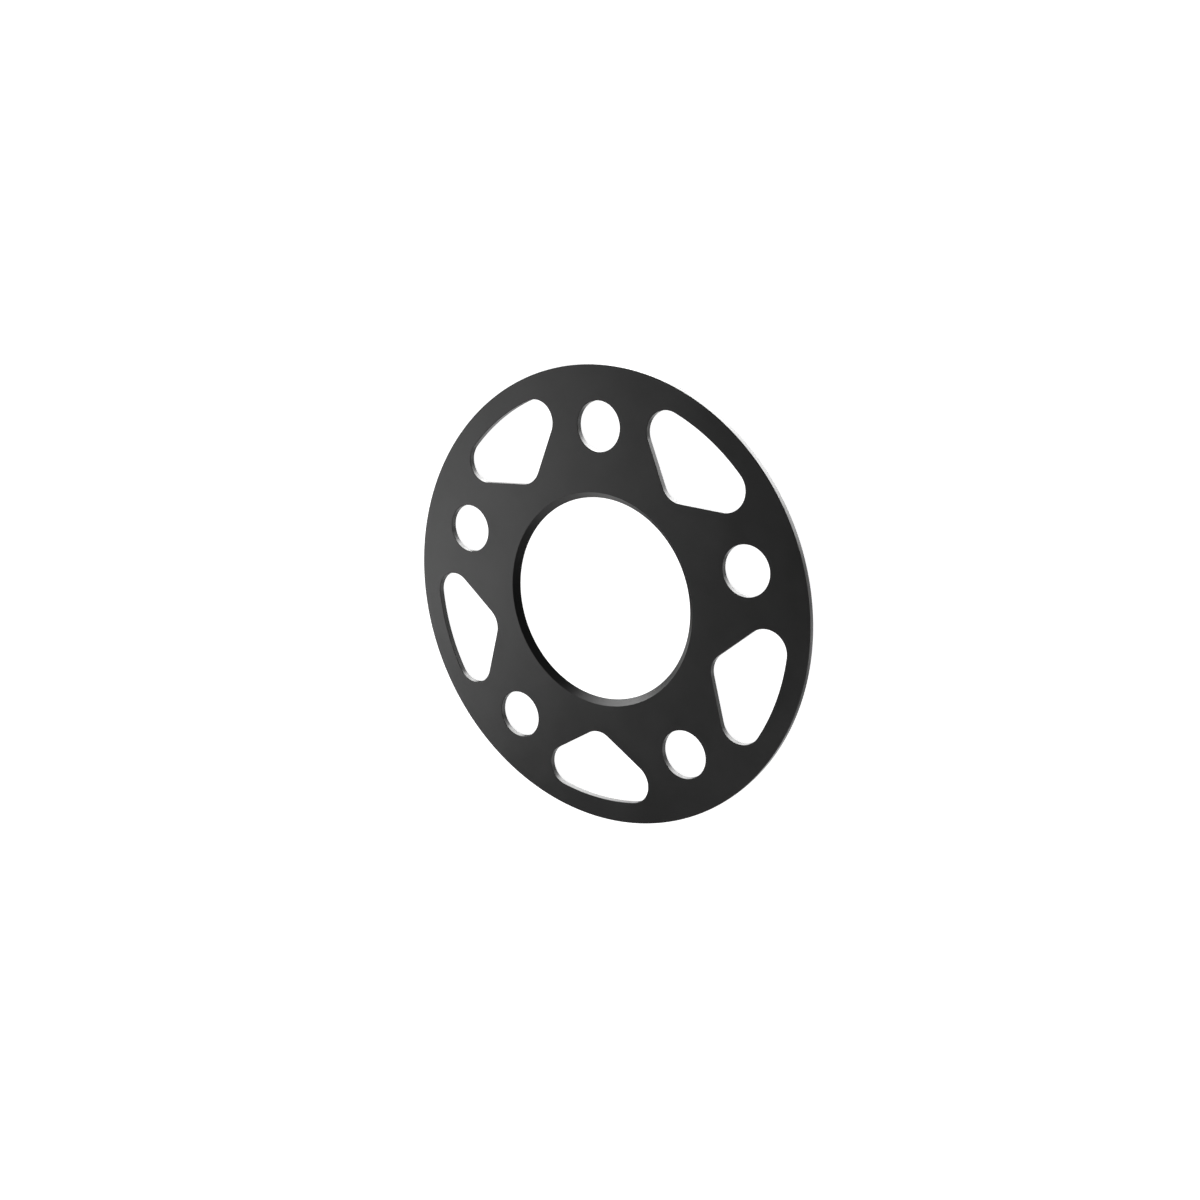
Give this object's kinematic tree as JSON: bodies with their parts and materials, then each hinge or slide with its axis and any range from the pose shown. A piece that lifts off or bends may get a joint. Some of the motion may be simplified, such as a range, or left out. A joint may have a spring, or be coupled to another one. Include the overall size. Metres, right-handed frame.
{
  "type": "wheel spacer",
  "caption": "Flat ring that fits between a car's hub and wheel to set the wheel outwards, with a chamfered hub bore, stud holes and lightening windows.",
  "frame": {"origin": "centre of the hub bore on the plain back face, which the spacer lies on", "axes": "+Z along the bore's axis, from the plain back face to the chamfered front face; one stud hole lies on +Y"},
  "size_m": [0.15, 0.15, 0.002],
  "materials": {
    "anodised_aluminium": "satin black anodised"
  },
  "bodies": {
    "root": {"spacer_plate": "anodised_aluminium"}
  },
  "joints": []
}
